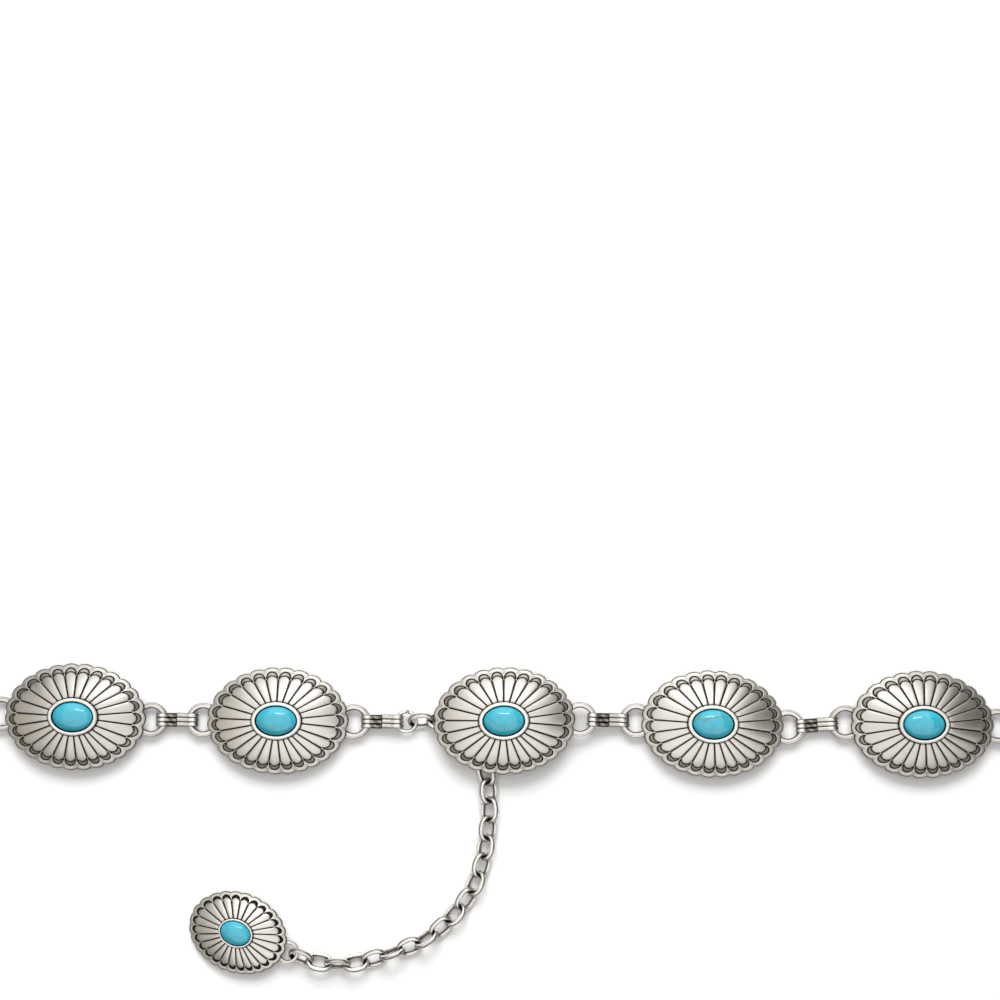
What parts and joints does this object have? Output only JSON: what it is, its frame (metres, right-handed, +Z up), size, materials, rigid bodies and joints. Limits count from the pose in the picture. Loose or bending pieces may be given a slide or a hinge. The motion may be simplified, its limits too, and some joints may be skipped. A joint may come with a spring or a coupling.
{
  "type": "chain belt",
  "caption": "Concho chain belt of domed oval plates set with cabochons, joined by reeded straps and fastened as a loop, with an extender chain ending in a small concho.",
  "frame": {"origin": "middle of the belt's footprint, on the surface it lies on", "axes": "+X along the front run towards the viewer's right, +Y from the run behind to the front run, +Z up from the surface"},
  "size_m": [0.5474, 0.2094, 0.0164],
  "materials": {
    "silver": "cast, plated in antiqued silver and darkened in its hollows",
    "turquoise": "polished, with fine dark veins"
  },
  "bodies": {
    "root": {"concho_01": "silver", "cabochon_01": "turquoise", "concho_02": "silver", "cabochon_02": "turquoise", "concho_03": "silver", "cabochon_03": "turquoise", "concho_04": "silver", "cabochon_04": "turquoise", "concho_05": "silver", "cabochon_05": "turquoise", "concho_06": "silver", "cabochon_06": "turquoise", "concho_07": "silver", "cabochon_07": "turquoise", "concho_08": "silver", "cabochon_08": "turquoise", "concho_09": "silver", "cabochon_09": "turquoise", "concho_10": "silver", "cabochon_10": "turquoise", "concho_11": "silver", "cabochon_11": "turquoise", "concho_12": "silver", "cabochon_12": "turquoise", "concho_13": "silver", "cabochon_13": "turquoise", "concho_14": "silver", "cabochon_14": "turquoise", "strap_01": "silver", "strap_02": "silver", "strap_03": "silver", "strap_04": "silver", "strap_05": "silver", "strap_06": "silver", "strap_07": "silver", "strap_08": "silver", "strap_09": "silver", "strap_10": "silver", "strap_11": "silver", "strap_12": "silver", "strap_13": "silver", "strap_14": "silver", "jump_ring": "silver", "extender_chain": "silver", "end_concho": "silver", "end_cabochon": "turquoise"}
  },
  "joints": []
}
